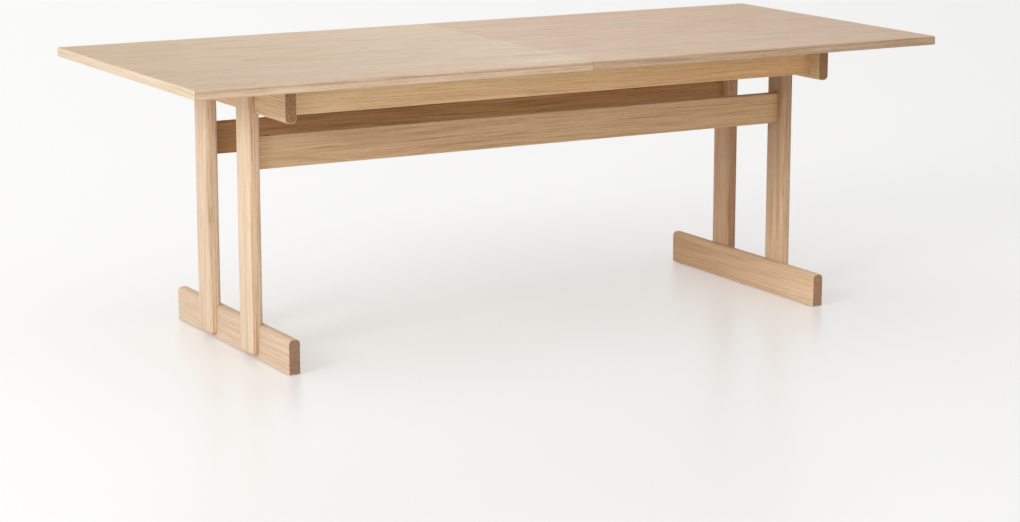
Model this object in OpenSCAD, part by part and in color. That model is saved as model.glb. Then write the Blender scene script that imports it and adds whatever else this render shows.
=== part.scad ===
// Extending dining table: two trestles carry a fixed frame, and the two halves of the top
// slide apart on it to let in a folding leaf that is stored under the top.
// Origin on the floor under the middle of the table, +X along its length, +Z up, front at -Y.

/* [Top] */
// Length of the closed table
table_l = 2200; // [2100:10:2400]
// Width of the top
table_w = 950; // [900:10:970]
// Height of the upper face of the top
table_h = 755; // [730:5:780]
// Thickness of the top
top_t = 24; // [22:1:28]
// Width of the solid lipping round the top
lipping_w = 14; // [10:1:20]
// Radius of the rounded edges of the top
top_edge_r = 4; // [2:0.5:6]
// Gap between the closed halves
seam_gap = 0.6; // [0.2:0.1:1.5]

/* [Trestles] */
// Distance between the middle planes of the trestles
trestle_span = 1604; // [1560:2:1660]
// Thickness of the feet and battens
bar_t = 32; // [28:1:40]
// Height of the feet and battens
bar_h = 91; // [80:1:100]
// Radius of the feet's upper and the battens' lower edges
bar_round_r = 12; // [4:1:13]
// Length of the feet
foot_l = 724; // [680:2:800]
// Length of the battens
batten_l = 728; // [680:2:800]
// Thickness of the posts
post_t = 34; // [28:1:40]
// Width of the posts
post_w = 80; // [60:1:90]
// Distance of the posts from the table's middle plane
post_y = 136; // [120:1:150]
// Radius of the posts' long edges
post_edge_r = 9; // [4:0.5:12]
// Height of the posts' lower ends above the floor
post_bottom = 15; // [10:1:30]

/* [Rails] */
// Height of the long aprons
apron_h = 77; // [77:1:90]
// Thickness of the long aprons
apron_t = 22; // [18:1:24]
// Distance of the aprons' outer faces from the table's middle plane
apron_y = 323.5; // [323.5:0.5:330]
// Height of the stretchers
stretcher_h = 85; // [70:1:100]
// Thickness of the stretchers
stretcher_t = 22; // [20:1:26]
// Distance of the stretchers from the table's middle plane
stretcher_y = 138; // [130:1:144]
// Height of the stretchers' lower edges above the floor
stretcher_z = 492; // [400:1:520]

/* [Extension] */
// Length that the leaf adds
leaf_l = 500; // [400:10:500]
// Extra opening of each half to let the leaf in
leaf_play = 2; // [1:0.5:4]

/* [Hidden] */
$fn = 48;

oak = [0.86, 0.74, 0.60];
oak_light = [0.90, 0.80, 0.67];
beech = [0.80, 0.64, 0.47];
steel = [0.72, 0.72, 0.72];
zinc = [0.55, 0.56, 0.58];
brass = [0.78, 0.64, 0.36];
nylon = [0.92, 0.91, 0.88];
felt = [0.28, 0.26, 0.24];

LEFT = -1;
RIGHT = 1;
SIDES = [LEFT, RIGHT];
FRONT = -1;
REAR = 1;
ROWS = [FRONT, REAR];

top_under = table_h - top_t;             // lower face of the top
frame_top = top_under - 1;               // upper edge of the fixed frame
trestle_x = trestle_span / 2;            // middle plane of a trestle
inner_x = trestle_x - bar_t / 2;         // inner face of the battens
lap = bar_t / 2;                         // depth of the housings for the posts
post_h = frame_top - post_bottom;
post_end_r = 10;                         // rounded lower corners of the posts
foot_bottom = 2;                         // the feet stand on thin glides
bar_ease = 3;                            // eased square edges of the bars
rail_ease = 2;                           // eased edges of the aprons and stretchers
stretcher_top = stretcher_z + stretcher_h;
travel = leaf_l / 2 + leaf_play;         // how far each half slides
eps = 1;                                 // overshoot of a cut past a face

// Knock-down fittings of the stretchers
cam_inset = 34;                          // from the end of a stretcher to its cam
cam_d = 15;
cam_hole_h = 19;
cam_h = 13;
bolt_d = 7;
bolt_z = stretcher_top - cam_hole_h + cam_h / 2;
bolt_grip = 12;                          // how deep the bolt goes into the post
dowel_d = 8;
dowel_l = 30;
dowel_heights = [stretcher_z + 16, stretcher_z + 44];

// Guides and sliders, from the aprons inwards: outer slider, guide, inner slider
slider_t = 18;
slide_play = 0.5;
guide_t = 20;
apron_in = apron_y - apron_t;            // inner face of the aprons
guide_y = apron_in - 2 * slide_play - slider_t - guide_t / 2;
guide_h = 39;
guide_z = frame_top - guide_h;           // lower face of the guides
slider_h = top_under - guide_z - 2;
tongue_z = frame_top - 12;               // height of tongue and groove
tongue_h = 8;
tongue_d = 6;
tongue_play = 0.3;
slider_gap = guide_t / 2 + slide_play;   // from the guide's middle to a slider's face

// Rack and pinion that keep the two halves in step
gear_module = 1.5;
pinion_teeth = 18;                       // even, so that both racks mesh alike
pitch_r = gear_module * pinion_teeth / 2;
tooth_pitch = PI * gear_module;
pressure_angle = 20;
base_r = pitch_r * cos(pressure_angle);
outer_r = pitch_r + gear_module;
root_r = pitch_r - 1.25 * gear_module;
backlash = 0.3;
pinion_h = 8;
rack_h = 10;
rack_z = guide_z + 11;                   // middle height of racks and pinions
rack_back = pitch_r + 6;                 // back of the racks from the guide's middle
rack_lead = 3 * tooth_pitch;             // from the seam back to the rack's first tooth, closed
rack_teeth = ceil((travel + 2 * rack_lead) / tooth_pitch);
rack_l = rack_teeth * tooth_pitch;
axle_r = 3;
axle_h = rack_h + 12;
axle_play = 0.08;

slider_out = inner_x - travel - 4;       // reach from the seam towards the trestle, closed
slider_in = rack_l - rack_lead + 2;      // reach beyond the seam, closed
slider_l = slider_out + slider_in;
slider_shift = (slider_out - slider_in) / 2;

// Stored leaf, folded in two and hung on a pair of pins
leaf_w = table_w / 2;
leaf_x = leaf_l / 2 - 0.5;               // half length of the leaf
leaf_gap = 0.6;                          // between the folded halves
leaf_top = top_under - 13;               // upper face of the folded leaf
leaf_mid = leaf_top - top_t - leaf_gap / 2;
leaf_bottom = leaf_top - 2 * top_t - leaf_gap;
pin_r = 5;
pin_y = -leaf_w / 4;
pin_z = (top_under + leaf_top) / 2;
hinge_y = 9 - leaf_w / 2;
hinge_rise = 8;                          // pivots of the links above and below the fold
hinge_plate_rise = 11;                   // middle of the plates above and below the fold
hinge_t = 2.5;                           // thickness of the plates
link_w = 9;
link_t = 2.2;
hinge_stud_r = 2;
bearer_t = 22;
bearer_h = 35;
bearer_x = leaf_l / 2 + 6;               // inner face of the bearers
bearer_z = guide_z - bearer_h;
plate_t = 3;                             // thickness of the pivot brackets
plate_w = 36;
plate_h = frame_top - bearer_z - 4;
pivot_screw_heights = [bearer_z + 10, bearer_z + 24];

// Catches that lock the closed halves together
latch_y = table_w / 2 - 70;
latch_pivot_x = -40;
latch_reach = 62;                        // from a lever's pivot to the stud it grips
stud_x = latch_pivot_x + latch_reach;
latch_plate_x = latch_pivot_x + 2;
latch_plate_hole = 18;                   // from the middle of a plate to its screws
keeper_hole = 11;
latch_plate_t = 2;
latch_z = top_under - 5.5;               // lower face of the levers
latch_t = 3;
latch_w = 14;
stud_r = 3;
rivet_r = 2.5;

// Seam dowels
seam_dowel_r = 5;
seam_dowel_l = 38;
seam_dowel_y = [-340, -120, 120, 340];

// Angle brackets inside the frame
bracket_t = 2;
bracket_leg = 20;
bracket_w = 16;
bracket_hole = 12.4;                     // from the corner to the screw
bracket_rise = 8;                        // above the lower edge of the wood it holds
screw_r = 1.75;
screw_l = 12;

// ---------- helpers ----------

// A centred outline with four equal round corners
module rounded_rect(w, h, r) {
    square([w - 2 * r, h], center = true);
    square([w, h - 2 * r], center = true);
    for (sx = [-1, 1], sy = [-1, 1])
        translate([sx * (w / 2 - r), sy * (h / 2 - r)]) circle(r = r);
}

// Runs an outline along X: its x becomes Y and its y becomes Z
module along_x(length) {
    rotate([90, 0, 90]) linear_extrude(length, center = true) children();
}

// Runs an outline along Y: its x becomes X and its y becomes Z
module along_y(length) {
    rotate([90, 0, 0]) linear_extrude(length, center = true) children();
}

// A cylinder that starts at the origin and runs along +X or -X
module rod_x(dir, length, r) {
    rotate([0, dir * 90, 0]) cylinder(h = length, r = r);
}

// Section of a foot or batten: well rounded along the top, its lower edges only eased
module bar_section() {
    round_z = bar_h - bar_round_r;
    translate([-bar_t / 2, bar_ease]) square([bar_t, round_z - bar_ease]);
    translate([-bar_t / 2 + bar_ease, 0]) square([bar_t - 2 * bar_ease, round_z]);
    translate([-bar_t / 2 + bar_round_r, bar_ease]) square([bar_t - 2 * bar_round_r, bar_h - bar_ease]);
    for (s = [-1, 1]) {
        translate([s * (bar_t / 2 - bar_ease), bar_ease]) circle(r = bar_ease);
        translate([s * (bar_t / 2 - bar_round_r), round_z]) circle(r = bar_round_r);
    }
}

// Face of a post, up from its rounded lower end
module post_outline() {
    translate([-post_w / 2, post_end_r]) square([post_w, post_h - post_end_r]);
    translate([-post_w / 2 + post_end_r, 0]) square([post_w - 2 * post_end_r, post_h]);
    for (s = [-1, 1]) translate([s * (post_w / 2 - post_end_r), post_end_r]) circle(r = post_end_r);
}

// The space that the two posts of a trestle take out of its foot or batten
module post_housings(side) {
    for (row = ROWS)
        translate([side * (trestle_x + lap), row * post_y, post_bottom])
            along_x(2 * lap) post_outline();
}

// ---------- trestles ----------

module foot(side) {
    color(oak) difference() {
        translate([side * trestle_x, 0, foot_bottom]) along_y(foot_l) bar_section();
        post_housings(side);
    }
}

module batten(side) {
    color(oak) difference() {
        translate([side * trestle_x, 0, frame_top]) mirror([0, 0, 1]) along_y(batten_l) bar_section();
        post_housings(side);
        screws_of_brackets(side);
    }
}

// Bores for the bolt and the dowels of one stretcher end, from the joint into the post
module stretcher_bores(side, depth_bolt, depth_dowel) {
    translate([0, 0, bolt_z]) rod_x(side, depth_bolt, bolt_d / 2);
    for (z = dowel_heights) translate([0, 0, z]) rod_x(side, depth_dowel, dowel_d / 2);
}

module post(side, row) {
    color(oak_light) difference() {
        translate([side * (trestle_x + post_t / 2), row * post_y, post_bottom])
            intersection() {
                linear_extrude(post_h) rounded_rect(post_t, post_w, post_edge_r);
                along_x(post_t + eps) post_outline();
            }
        translate([side * trestle_x, row * stretcher_y, 0])
            stretcher_bores(side, bolt_grip, dowel_l / 2);
    }
}

// ---------- rails ----------

module apron(row) {
    color(oak) difference() {
        translate([0, row * (apron_y - apron_t / 2), frame_top - apron_h / 2])
            along_x(2 * inner_x) rounded_rect(apron_t, apron_h, rail_ease);
        for (side = SIDES) screws_of_brackets(side);
    }
}

module stretcher(row) {
    color(oak) difference() {
        translate([0, row * stretcher_y, stretcher_z + stretcher_h / 2])
            along_x(2 * trestle_x) rounded_rect(stretcher_t, stretcher_h, rail_ease);
        for (side = SIDES) translate([side * trestle_x, row * stretcher_y, 0]) {
            stretcher_bores(-side, cam_inset, dowel_l / 2);
            translate([-side * cam_inset, 0, stretcher_top - cam_hole_h])
                cylinder(h = cam_hole_h + eps, d = cam_d);
        }
    }
}

// Places its children at the foot of each stretcher end
module at_stretcher_ends() {
    for (side = SIDES, row = ROWS)
        translate([side * trestle_x, row * stretcher_y, 0])
            mirror([side < 0 ? 1 : 0, 0, 0]) children();
}

module stretcher_cams() {
    color(zinc) at_stretcher_ends()
        translate([-cam_inset, 0, stretcher_top - cam_hole_h])
            difference() {
                cylinder(h = cam_h, d = cam_d - 0.3);
                translate([0, 0, cam_h / 2]) rod_x(1, cam_d, bolt_d / 2 + 0.2);
                for (a = [0, 90]) rotate([0, 0, a + 45])
                    translate([0, 0, cam_h]) cube([8, 1.4, 4], center = true);
            }
}

module stretcher_bolts() {
    color(steel) at_stretcher_ends() translate([0, 0, bolt_z]) {
        rod_x(1, bolt_grip, bolt_d / 2);
        rod_x(-1, cam_inset - 3, bolt_d / 2 - 0.3);
    }
}

module stretcher_dowels() {
    color(beech) at_stretcher_ends() for (z = dowel_heights)
        translate([-dowel_l / 2, 0, z]) rod_x(1, dowel_l, dowel_d / 2);
}

module foot_glides() {
    glide_r = 11;
    color(felt) for (side = SIDES, y = [-1, 0, 1])
        translate([side * trestle_x, y * (foot_l / 2 - 40), 0]) cylinder(h = foot_bottom, r = glide_r);
}

// Thin strips on the battens that the halves of the top slide over
module top_glides() {
    strip_w = 10;
    color(nylon) for (side = SIDES, row = ROWS)
        translate([side * (trestle_x - bar_t / 4), row * (post_y + guide_y) / 2, frame_top + 0.45])
            cube([strip_w, 60, 0.9], center = true);
}

// ---------- brackets and their screws ----------

// An angle in the corner between two faces: legs along +X and +Y, height along +Z
module angle_bracket() {
    difference() {
        union() {
            cube([bracket_leg, bracket_t, bracket_w]);
            cube([bracket_t, bracket_leg, bracket_w]);
        }
        angle_screws();
    }
}

// One screw through each leg of a bracket, into the faces behind it
module angle_screws() {
    hole = [bracket_hole, bracket_t, bracket_w / 2];
    translate(hole) rotate([90, 0, 0]) flat_screw();
    translate([hole[1], hole[0], hole[2]]) rotate([0, -90, 0]) flat_screw();
}

// Countersunk screw, head face at the origin, running along +Z
module flat_screw() {
    cylinder(h = bracket_t, r1 = 2 * screw_r, r2 = screw_r);
    cylinder(h = screw_l, r = screw_r);
}

// Corner of apron and batten, seen from the middle of the table
module at_apron_corners(side) {
    for (row = ROWS)
        translate([side * inner_x, row * apron_in, frame_top - apron_h + bracket_rise])
            mirror([side > 0 ? 1 : 0, 0, 0]) mirror([0, row > 0 ? 1 : 0, 0]) children();
}

// Corner of a guide's lower face and the batten
module at_guide_corners(side) {
    for (row = ROWS)
        translate([side * inner_x, row * guide_y + bracket_w / 2, guide_z])
            mirror([side > 0 ? 1 : 0, 0, 0]) rotate([90, 0, 0]) mirror([0, 1, 0]) children();
}

// Corner of a bearer and the apron
module at_bearer_corners(side) {
    for (row = ROWS)
        translate([side * (bearer_x + bearer_t), row * apron_in, bearer_z + bracket_rise])
            mirror([side < 0 ? 1 : 0, 0, 0]) mirror([0, row > 0 ? 1 : 0, 0]) children();
}

// Screws of the pivot bracket into the bearer
module pivot_screws(side) {
    for (z = pivot_screw_heights) translate([side * (bearer_x - plate_t), pin_y, z])
        rotate([0, side * 90, 0]) {
            flat_screw();
            cylinder(h = screw_l + bracket_t, r = screw_r);
        }
}

module screws_of_brackets(side) {
    at_apron_corners(side) angle_screws();
    at_guide_corners(side) angle_screws();
    at_bearer_corners(side) angle_screws();
    pivot_screws(side);
}

module apron_brackets() {
    color(steel) for (side = SIDES) at_apron_corners(side) angle_bracket();
}

module guide_brackets() {
    color(steel) for (side = SIDES) at_guide_corners(side) angle_bracket();
}

module bearer_brackets() {
    color(steel) for (side = SIDES) at_bearer_corners(side) angle_bracket();
}

module bracket_screws() {
    color(zinc) for (side = SIDES) screws_of_brackets(side);
}

// ---------- guides, racks and pinions ----------

module guide(row) {
    pocket = [2 * outer_r + 5, guide_t + eps, pinion_h + 1];
    color(beech) difference() {
        translate([0, row * guide_y, guide_z + guide_h / 2])
            along_x(2 * inner_x) difference() {
                square([guide_t, guide_h], center = true);
                for (s = [-1, 1])
                    translate([s * guide_t / 2, tongue_z - guide_z - guide_h / 2])
                        square([2 * tongue_d, tongue_h], center = true);
            }
        translate([0, row * guide_y, rack_z]) cube(pocket, center = true);
        translate([0, row * guide_y, guide_z - eps]) cylinder(h = axle_h + eps, r = axle_r);
        for (side = SIDES) screws_of_brackets(side);
    }
}

// Rack outline along x, teeth pointing to -y from the pitch line at y = 0
module rack_outline() {
    half_pitch = (tooth_pitch - backlash) / 4;
    slope = tan(pressure_angle);
    tip = gear_module;
    root = 1.25 * gear_module;
    teeth = [for (i = [0 : rack_teeth - 1], p = [
        [-half_pitch - root * slope, root], [-half_pitch + tip * slope, -tip],
        [half_pitch - tip * slope, -tip], [half_pitch + root * slope, root]
    ]) [(i + 0.5) * tooth_pitch + p[0], p[1]]];
    back = rack_back - pitch_r;
    polygon(concat([[0, back], [0, root]], teeth, [[rack_l, root], [rack_l, back]]));
}

// Places an outline as one half's rack in the closed table, on the guide's outer side at the left
module at_rack(half, row) {
    dir = half == LEFT ? row : -row;
    translate([half * rack_lead, row * guide_y + dir * pitch_r, rack_z - rack_h / 2])
        mirror([half > 0 ? 1 : 0, 0, 0]) mirror([0, dir < 0 ? 1 : 0, 0])
            linear_extrude(rack_h) children();
}

module racks(half) {
    color(nylon) for (row = ROWS) at_rack(half, row) rack_outline();
}

function involute(r) = let (a = acos(base_r / r)) tan(a) * 180 / PI - a;

module pinion_outline() {
    flank_steps = 5;
    half_tooth = (tooth_pitch - backlash) / 4 / pitch_r * 180 / PI;
    low_r = base_r + 0.05;
    flank = [for (i = [0 : flank_steps])
        let (r = low_r + (outer_r - low_r) * i / flank_steps)
        [r, half_tooth + involute(pitch_r) - involute(r)]];
    side = concat([[root_r, flank[0][1] + 1]], flank);
    tooth = concat([for (p = side) [p[0], -p[1]]], [for (i = [flank_steps + 1 : -1 : 0]) side[i]]);
    polygon([for (t = [0 : pinion_teeth - 1], p = tooth)
        let (a = 90 + t * 360 / pinion_teeth + p[1]) [p[0] * cos(a), p[0] * sin(a)]]);
}

module pinion(row) {
    color(nylon) translate([0, row * guide_y, rack_z - pinion_h / 2])
        difference() {
            linear_extrude(pinion_h) pinion_outline();
            translate([0, 0, -eps]) cylinder(h = pinion_h + 2 * eps, r = axle_r + axle_play);
        }
}

module pinion_axles() {
    color(steel) for (row = ROWS)
        translate([0, row * guide_y, guide_z]) cylinder(h = axle_h, r = axle_r);
}

// The left half's sliders run on the outer sides of the guides, the right half's on the inner sides
module slider(half, row) {
    dir = half == LEFT ? row : -row;
    middle_y = row * guide_y + dir * (slider_gap + slider_t / 2);
    slider_z = top_under - slider_h / 2;
    face_x = half * slider_shift;
    color(beech) difference() {
        union() {
            translate([face_x, middle_y, slider_z]) cube([slider_l, slider_t, slider_h], center = true);
            translate([face_x, row * guide_y + dir * (slider_gap - tongue_d / 2 + slide_play), tongue_z])
                cube([slider_l, tongue_d, tongue_h - 2 * tongue_play], center = true);
        }
        // clear of the other half's lower face beyond the seam
        translate([-half * slider_l / 2, middle_y, top_under])
            cube([slider_l + 4, slider_t + eps, 2], center = true);
        at_rack(half, row) translate([0, -pitch_r]) square([rack_l, rack_back]);
        slider_screws(half, row);
    }
}

slider_screw_x = [for (i = [0 : 3]) 60 + i * (slider_out - 120) / 3];

// Screws that hold a slider up against its half, with room for their heads
module slider_screws(half, row, head_room = 20) {
    dir = half == LEFT ? row : -row;
    head_z = top_under - slider_h + 18;
    for (x = slider_screw_x)
        translate([half * x, row * guide_y + dir * (slider_gap + slider_t / 2), head_z]) {
            translate([0, 0, -head_room]) cylinder(h = head_room + 3, r = 4.5);
            cylinder(h = top_under - head_z + 13, r = 2);
        }
}

module latch_screws(half) {
    middle_x = half == LEFT ? latch_plate_x : stud_x;
    hole = half == LEFT ? latch_plate_hole : keeper_hole;
    for (row = ROWS, s = [-1, 1])
        translate([middle_x + s * hole, row * latch_y, top_under - latch_plate_t]) flat_screw();
}

module screws(half) {
    color(zinc) {
        for (row = ROWS) slider_screws(half, row, head_room = 0);
        latch_screws(half);
    }
}

// ---------- the halves of the top ----------

// Panel of one half, inside the lipping
module half_panel(half) {
    length = table_l / 2 - seam_gap / 2 - lipping_w;
    translate([half * (seam_gap / 2 + length / 2), 0, top_under + top_t / 2])
        cube([length, table_w - 2 * lipping_w, top_t], center = true);
}

module seam_dowel_holes(half, r, depth) {
    for (y = seam_dowel_y)
        translate([half * seam_gap / 2, y, top_under + top_t / 2]) rod_x(half, depth, r);
}

module top_half(half) {
    color(oak) difference() {
        half_panel(half);
        if (half == LEFT) seam_dowel_holes(half, seam_dowel_r, seam_dowel_l / 2);
        if (half == RIGHT) seam_dowel_holes(half, seam_dowel_r + 0.4, seam_dowel_l / 2 + 2);
        for (row = ROWS) slider_screws(half, row);
        latch_screws(half);
    }
}

module seam_dowels() {
    color(beech) for (y = seam_dowel_y)
        translate([-seam_gap / 2 - seam_dowel_l / 2, y, top_under + top_t / 2]) {
            rod_x(1, seam_dowel_l - seam_dowel_r, seam_dowel_r);
            translate([seam_dowel_l - seam_dowel_r, 0, 0]) sphere(r = seam_dowel_r);
        }
}

// Section of the lipping, outer face at x = 0, body towards +x
module lipping_section() {
    translate([0, top_edge_r]) square([lipping_w, top_t - 2 * top_edge_r]);
    translate([top_edge_r, 0]) square([lipping_w - top_edge_r, top_t]);
    for (z = [top_edge_r, top_t - top_edge_r]) translate([top_edge_r, z]) circle(r = top_edge_r);
}

// Plan of one long lipping at the left front: mitred at the outer corner, rounded at its ends
module long_lipping_plan() {
    corner_r = top_edge_r;
    seam_r = 2;
    length = table_l / 2 - seam_gap / 2;
    polygon([[corner_r, 0], [length - seam_r, 0], [length - seam_r, lipping_w],
             [lipping_w, lipping_w], [corner_r, corner_r]]);
    translate([length - seam_r - eps, seam_r]) square([seam_r + eps, lipping_w - seam_r]);
    translate([length - seam_r, seam_r]) circle(r = seam_r);
    intersection() {
        translate([corner_r, corner_r]) circle(r = corner_r);
        polygon([[0, 0], [2 * corner_r, 0], [2 * corner_r, 2 * corner_r]]);
    }
}

module end_lipping_plan() {
    corner_r = top_edge_r;
    polygon([[0, corner_r], [corner_r, corner_r], [lipping_w, lipping_w],
             [lipping_w, table_w - lipping_w], [corner_r, table_w - corner_r], [0, table_w - corner_r]]);
    for (y = [corner_r, table_w - corner_r]) intersection() {
        translate([corner_r, y]) circle(r = corner_r);
        translate([0, y]) polygon([[0, 0], [corner_r, 0], [0, (y < table_w / 2 ? -1 : 1) * corner_r]]);
    }
}

// Places a left front shape at either half and row
module at_top_corner(half, row) {
    mirror([half > 0 ? 1 : 0, 0, 0]) mirror([0, row > 0 ? 1 : 0, 0])
        translate([-table_l / 2, -table_w / 2, top_under]) children();
}

module long_lipping(half, row) {
    color(oak_light) at_top_corner(half, row) intersection() {
        linear_extrude(top_t) long_lipping_plan();
        translate([table_l / 4, 0, 0]) along_x(table_l) lipping_section();
    }
}

module end_lipping(half) {
    color(oak_light) at_top_corner(half, FRONT) intersection() {
        linear_extrude(top_t) end_lipping_plan();
        translate([0, table_w / 2, 0]) along_y(table_w + eps) lipping_section();
    }
}

// ---------- catches ----------

module latch_plates() {
    color(brass) for (row = ROWS)
        translate([latch_plate_x, row * latch_y, top_under - latch_plate_t]) difference() {
            linear_extrude(latch_plate_t) rounded_rect(48, 20, 3);
            translate([latch_pivot_x - latch_plate_x, 0, -eps])
                cylinder(h = latch_plate_t + 2 * eps, r = rivet_r);
            for (s = [-1, 1]) translate([s * latch_plate_hole, 0, 0]) flat_screw();
        }
}

module latch_rivets() {
    head_h = 1.5;
    color(steel) for (row = ROWS) translate([latch_pivot_x, row * latch_y, latch_z - 1]) {
        cylinder(h = top_under - latch_z + 1, r = rivet_r);
        translate([0, 0, 0.8 - head_h]) cylinder(h = head_h, r = 2 * rivet_r);
    }
}

module latch_keepers() {
    head_h = 1.5;
    color(brass) for (row = ROWS) translate([stud_x, row * latch_y, 0]) {
        translate([0, 0, top_under - latch_plate_t]) difference() {
            linear_extrude(latch_plate_t) rounded_rect(32, 20, 3);
            for (s = [-1, 1]) translate([s * keeper_hole, 0, 0]) flat_screw();
        }
        translate([0, 0, latch_z - 1]) cylinder(h = top_under - latch_z, r = stud_r);
        translate([0, 0, latch_z - 2]) cylinder(h = head_h, r = stud_r + 2);
    }
}

// Lever as it lies when locked, along +X from its pivot, notch open to the outer side
module latch_lever_outline(row) {
    end_x = latch_reach + 6;
    difference() {
        union() {
            circle(d = latch_w);
            translate([0, -latch_w / 2]) square([end_x, latch_w]);
            translate([end_x, 0]) circle(d = latch_w);
        }
        circle(r = rivet_r + 0.1);
        translate([latch_reach, 0]) circle(r = stud_r + 0.5);
        translate([latch_reach, row * latch_w / 2]) square([2 * stud_r + 1, latch_w], center = true);
    }
}

// Shown released: turned a quarter round, pointing to the middle of the table
module latch_lever(row) {
    knob_x = latch_reach - latch_w;
    knob_h = 6;
    color(brass) translate([latch_pivot_x, row * latch_y, latch_z]) rotate([0, 0, -row * 90]) {
        linear_extrude(latch_t) latch_lever_outline(row);
        translate([knob_x, 0, -knob_h]) cylinder(h = knob_h + 0.5, r = 5);
    }
}

// ---------- leaf ----------

// One half of the leaf without its lipping; z is the height of its lower face
module leaf_panel(z) {
    difference() {
        translate([0, -lipping_w / 2, z + top_t / 2])
            cube([2 * leaf_x, leaf_w - lipping_w, top_t], center = true);
        leaf_hinge_pockets();
    }
}

module leaf_upper() {
    color(oak) leaf_panel(leaf_mid + leaf_gap / 2);
}

module leaf_lower() {
    color(oak) leaf_panel(leaf_bottom);
}

module leaf_lippings() {
    color(oak_light) for (z = [leaf_mid + leaf_gap / 2, leaf_bottom])
        translate([0, leaf_w / 2, z]) mirror([0, 1, 0]) along_x(2 * leaf_x) lipping_section();
}

// Places a hinge at both ends of the fold; its x points out of the leaf
module at_leaf_hinges() {
    for (side = SIDES)
        translate([side * leaf_x, hinge_y, leaf_mid]) mirror([side < 0 ? 1 : 0, 0, 0]) children();
}

module hinge_plate_outline() {
    translate([3, 0]) rounded_rect(20, 14, 3);
}

module leaf_hinge_pockets() {
    at_leaf_hinges() {
        for (s = [-1, 1]) translate([-hinge_t, 0, s * hinge_plate_rise])
            along_x(2 * hinge_t) hinge_plate_outline();
        translate([-hinge_t / 2, 0, 0])
            along_x(hinge_t) rounded_rect(link_w + 1, 2 * hinge_rise + link_w + 1, link_w / 2 + 0.4);
    }
}

module leaf_hinge_plates() {
    color(brass) at_leaf_hinges() for (s = [-1, 1]) difference() {
        translate([-1.5 * hinge_t, 0, s * hinge_plate_rise]) along_x(hinge_t) hinge_plate_outline();
        translate([-2 * hinge_t - eps, 0, s * hinge_rise])
            rod_x(1, 2 * hinge_t, hinge_stud_r + axle_play);
    }
}

module leaf_hinge_links() {
    color(steel) at_leaf_hinges() {
        translate([-hinge_t / 2, 0, 0])
            along_x(link_t) rounded_rect(link_w, 2 * hinge_rise + link_w, link_w / 2 - 0.1);
        for (s = [-1, 1]) translate([0.2 - 2 * hinge_t, 0, s * hinge_rise])
            rod_x(1, 1.5 * hinge_t - 0.25, hinge_stud_r);
    }
}

// Round pins welded to plates on the outer face of the upper leaf half
module leaf_pivots() {
    weld_plate = [36, 44, 2];
    pin_inset = 34;
    pin_end = bearer_x + 6;
    color(steel) for (side = SIDES) translate([0, pin_y, 0]) {
        translate([side * (leaf_x - 4 - weld_plate[0] / 2), 0, leaf_top + weld_plate[2] / 2])
            cube(weld_plate, center = true);
        translate([side * (leaf_x - pin_inset), 0, pin_z])
            rod_x(side, pin_end - leaf_x + pin_inset, pin_r);
    }
}

module pivot_brackets() {
    color(steel) for (side = SIDES)
        translate([side * (bearer_x - plate_t / 2), pin_y, frame_top - plate_h / 2])
            difference() {
                along_x(plate_t) rounded_rect(plate_w, plate_h, plate_t);
                translate([-plate_t, 0, pin_z - frame_top + plate_h / 2])
                    rod_x(1, 2 * plate_t, pin_r + 0.1);
                translate([-side * (bearer_x - plate_t / 2), -pin_y, plate_h / 2 - frame_top])
                    pivot_screws(side);
            }
}

module bearer(side) {
    color(beech) difference() {
        translate([side * (bearer_x + bearer_t / 2), 0, bearer_z + bearer_h / 2])
            cube([bearer_t, 2 * apron_in, bearer_h], center = true);
        screws_of_brackets(side);
    }
}

// Strips that the free side of the folded leaf lies on
module leaf_rests() {
    rest_w = 20;
    rest_l = 200;
    color(beech) for (side = SIDES)
        translate([side * (bearer_x - rest_w / 2), rest_l / 2 + 24, (bearer_z + leaf_bottom) / 2])
            cube([rest_w, rest_l, leaf_bottom - bearer_z], center = true);
}

// ---------- nodes ----------

top_half(LEFT);  // top_left
long_lipping(LEFT, FRONT);  // lipping_left_front
long_lipping(LEFT, REAR);  // lipping_left_rear
end_lipping(LEFT);  // lipping_left_end
slider(LEFT, FRONT);  // slider_left_front
slider(LEFT, REAR);  // slider_left_rear
racks(LEFT);  // racks_left
screws(LEFT);  // screws_left
top_half(RIGHT);  // top_right
long_lipping(RIGHT, FRONT);  // lipping_right_front
long_lipping(RIGHT, REAR);  // lipping_right_rear
end_lipping(RIGHT);  // lipping_right_end
slider(RIGHT, FRONT);  // slider_right_front
slider(RIGHT, REAR);  // slider_right_rear
racks(RIGHT);  // racks_right
screws(RIGHT);  // screws_right
seam_dowels();
latch_plates();
latch_rivets();
latch_keepers();
latch_lever(FRONT);  // latch_lever_front
latch_lever(REAR);  // latch_lever_rear
pinion(FRONT);  // pinion_front
pinion(REAR);  // pinion_rear
pinion_axles();
guide(FRONT);  // guide_front
guide(REAR);  // guide_rear
apron(FRONT);  // apron_front
apron(REAR);  // apron_rear
batten(LEFT);  // batten_left
batten(RIGHT);  // batten_right
foot(LEFT);  // foot_left
foot(RIGHT);  // foot_right
post(LEFT, FRONT);  // post_front_left
post(LEFT, REAR);  // post_rear_left
post(RIGHT, FRONT);  // post_front_right
post(RIGHT, REAR);  // post_rear_right
stretcher(FRONT);  // stretcher_front
stretcher(REAR);  // stretcher_rear
stretcher_cams();
stretcher_bolts();
stretcher_dowels();
foot_glides();
top_glides();
bearer(LEFT);  // bearer_left
bearer(RIGHT);  // bearer_right
leaf_rests();
apron_brackets();
guide_brackets();
bearer_brackets();
bracket_screws();
leaf_upper();
leaf_lower();
leaf_lippings();
leaf_hinge_plates();
leaf_hinge_links();
leaf_pivots();
pivot_brackets();
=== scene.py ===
"""Looks of an extending dining table in pale oak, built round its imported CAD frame.

Metres, in the table's own frame: origin on the floor under the middle of the table,
+X along its length, +Z up, front at -Y.
"""

import math

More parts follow.
